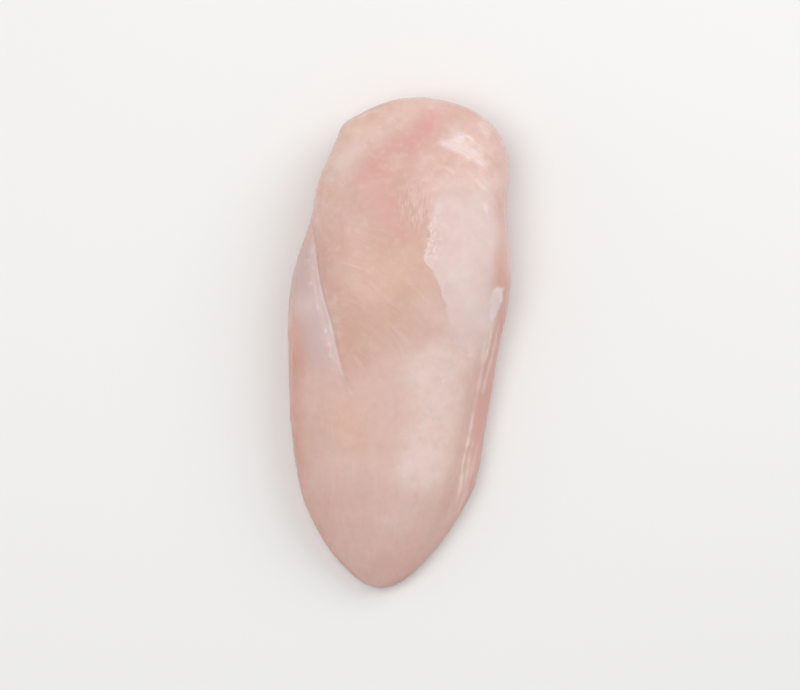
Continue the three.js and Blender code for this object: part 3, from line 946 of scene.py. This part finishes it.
# %% Blush, painted shade in the crease, right flank and flap
BLUSH = srgb(221, 157, 157)
CREASE_SHADE = srgb(214, 168, 150)
FLANK = srgb(210, 160, 150)
HIGH_FLANK = srgb(222, 188, 180)
FLAP_WHITE = srgb(232, 214, 213)
blush_noise = blotches(4.5, (0.35, 0.62), (0.5, 1.0), detail=5.0, roughness=0.65)
colour = tint(colour, BLUSH, mapped("blush"), blush_noise, 0.58)
# painted shade in the crease on the belly side of the seam
crease_shade_start = eased(paint, seam_side, -0.2, 0.3)
crease_shade_end = eased(paint, seam_side, 5.0, 0.5)
colour = tint(colour, CREASE_SHADE, crease_shade_start, crease_shade_end, mapped("beside_seam"), 0.12)
# the pinker low right flank, partly painted shade on that low side
flank_colour = tint(HIGH_FLANK, FLANK, mapped("low_flank"))
beyond_line = eased(paint, mapped("beyond_flank_line"), -2.5, 3.0)
colour = tint(colour, flank_colour, beyond_line, top_side, 0.7)
flap_edge = ragged(paint, mapped("in_flap"), place_mm, size=2.2, detail=2.0, reach=1.4)
flap_noise = eased(paint, wisp_noise, 0.3, 0.6, start=0.75, end=1.0)
colour = tint(colour, FLAP_WHITE, eased(paint, flap_edge, -0.8, 0.8), flap_noise, 0.95)

# %% Silverskin, fat, wrinkles, strands with painted glints, and veins
LINING = srgb(226, 205, 204)
FAT = srgb(242, 224, 198)
STRAND_AND_GLINT_WHITE = srgb(244, 229, 223)
VEIN = srgb(150, 62, 58)
colour = tint(colour, LINING, mapped("silverskin"), mottle, 0.75)
colour = tint(colour, FAT, mapped("fat"))
colour = tint(colour, FAT, mapped("edge_fat"), 0.6)
place_part = add_node(paint, "ShaderNodeSeparateXYZ", {0: place_mm}).outputs
fine_wrinkles = dashes(paint, place_part[0], place_part[1], width=0.85, stretch=7.0, detail=1.0)
colour = tint(colour, STREAK, eased(paint, fine_wrinkles, 0.45, 0.6), mapped("wrinkled"), 0.3)
# whitened strands; on the shoulder folds, along the seam and at the trimmed corner this is partly painted
# highlight
colour = tint(colour, STRAND_AND_GLINT_WHITE, mapped("strands_and_glints"), 0.8)
colour = tint(colour, VEIN, mapped("veins"), 0.55)

# %% [markdown]
# Fresh meat is wet, but a low roughness alone would turn it into polished plastic. Under the film
# of juice the flesh is fairly matt, so the base has a middling roughness, the Principled shader's
# subsurface scatters the light, and the wetness is a thin smooth coat. Fine bumps along the
# fibres break the reflections into short streaks that look moist.

# %% Fine bumps
BUMP_DEPTH = 0.12 * MM
fine_fibres = dashes(paint, fibre_across, fibre_along, width=0.9, stretch=6.0, detail=3.0, roughness=0.6)
pores = product(paint, clouds(paint, place_mm, 0.8), 0.5)
wrinkle_bumps = product(paint, fine_wrinkles, mapped("wrinkled"), 5.0)
sparkle = product(paint, clouds(paint, place_mm, 2.6), mapped("glare"), 0.7)
bumps = added(paint, fine_fibres, pores, wrinkle_bumps, sparkle)
bump = add_node(paint, "ShaderNodeBump", {"Strength": 0.4, "Distance": BUMP_DEPTH, "Height": bumps})

# %% Shine and scattering
shader = add_node(paint, "ShaderNodeBsdfPrincipled", {
    "Base Color": colour,
    "Roughness": blotches(9.0, (0.3, 0.7), (0.36, 0.5), detail=3.0),
    "Normal": bump.outputs[0],
    "IOR": 1.38,
    "Subsurface Weight": 0.5,
    "Subsurface Radius": (1.0, 0.55, 0.4),
    "Subsurface Scale": 5 * MM,
    "Coat Weight": 0.6,
    "Coat Roughness": 0.16,
    "Coat IOR": 1.36,
    "Coat Normal": bump.outputs[0],
})
add_node(paint, "ShaderNodeOutputMaterial", {"Surface": shader.outputs[0]})
print("The whole material has", len(paint.nodes), "nodes")

# %% [markdown]
# The relief tree is now put on the flesh as a modifier. It could stay live, but a plain mesh is
# what other programs can read, so its result becomes the flesh's own mesh. Relief on the rib side
# also pushes a few points under the floor, and the flesh is raised by as much.

# %% Applying the relief
relief_step = flesh.modifiers.new("relief", "NODES")
relief_step.node_group = relief
for item in relief.interface.items_tree:
    if item.name == "Finish":
        relief_step[item.identifier] = finish
apply_modifiers(flesh)
lowest = min(vertex.co.z for vertex in flesh.data.vertices)
for vertex in flesh.data.vertices:
    vertex.co.z -= lowest
print("The flesh was raised by", round(-lowest / MM, 2), "mm, back on to the floor")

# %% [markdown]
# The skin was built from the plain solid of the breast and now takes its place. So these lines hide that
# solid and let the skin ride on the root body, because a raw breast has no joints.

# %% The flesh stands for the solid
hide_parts("breast")
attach(flesh, "root")

# %% [markdown]
# The floor is plain and pale, so nothing competes with the flesh. A small lamp would make hard
# shadows and sharp highlights. So a large soft light at the upper right gives the mild glare on
# the shoulder, two more fill from above and the left, and the pale world lifts the shadows.

# %% The floor
FLOOR_HALF = 3.0
FLOOR_COLOUR = (0.86, 0.85, 0.83, 1)
FLOOR_ROUGHNESS = 0.8
CORNERS = [(-1, -1), (1, -1), (1, 1), (-1, 1)]
floor_corners = [(side_x * FLOOR_HALF, side_y * FLOOR_HALF, 0) for side_x, side_y in CORNERS]
floor_mesh = bpy.data.meshes.new("floor")
floor_mesh.from_pydata(floor_corners, [], [(0, 1, 2, 3)])
floor = bpy.data.objects.new("floor", floor_mesh)
bpy.context.scene.collection.objects.link(floor)
floor_finish = bpy.data.materials.new("pale_floor")
floor_finish.use_nodes = True
floor_shader = floor_finish.node_tree.nodes["Principled BSDF"].inputs
floor_shader["Base Color"].default_value = FLOOR_COLOUR
floor_shader["Roughness"].default_value = FLOOR_ROUGHNESS
floor_mesh.materials.append(floor_finish)


# %% Soft lights
def soft_light(name, place, size, power, colour):
    """A round light that faces the breast."""
    light = bpy.data.lights.new(name, "AREA")
    light.shape = "DISK"
    light.size = size
    light.energy = power
    light.color = colour
    lamp = bpy.data.objects.new(name, light)
    lamp.location = place
    lamp.rotation_euler = (-Vector(place)).to_track_quat("-Z", "Y").to_euler()
    bpy.context.scene.collection.objects.link(lamp)
    print("The light", name, "is", round(Vector(place).length, 2), "m away")


soft_light("key", place=(0.6, 0.53, 0.69), size=0.85, power=4.15, colour=(1, 1, 1))
soft_light("overhead", place=(-0.3, 0.1, 1.15), size=0.9, power=5.5, colour=(1, 0.995, 0.98))
soft_light("left fill", place=(-0.9, 0.1, 0.55), size=0.8, power=0.7, colour=(1, 0.99, 0.98))

# %% The pale world
WORLD_COLOUR = (0.95, 0.97, 1, 1)
WORLD_STRENGTH = 0.48
world = bpy.data.worlds.new("studio")
world.use_nodes = True
background = world.node_tree.nodes["Background"].inputs
background["Color"].default_value = WORLD_COLOUR
background["Strength"].default_value = WORLD_STRENGTH
bpy.context.scene.world = world
bpy.context.scene.view_settings.view_transform = "Standard"
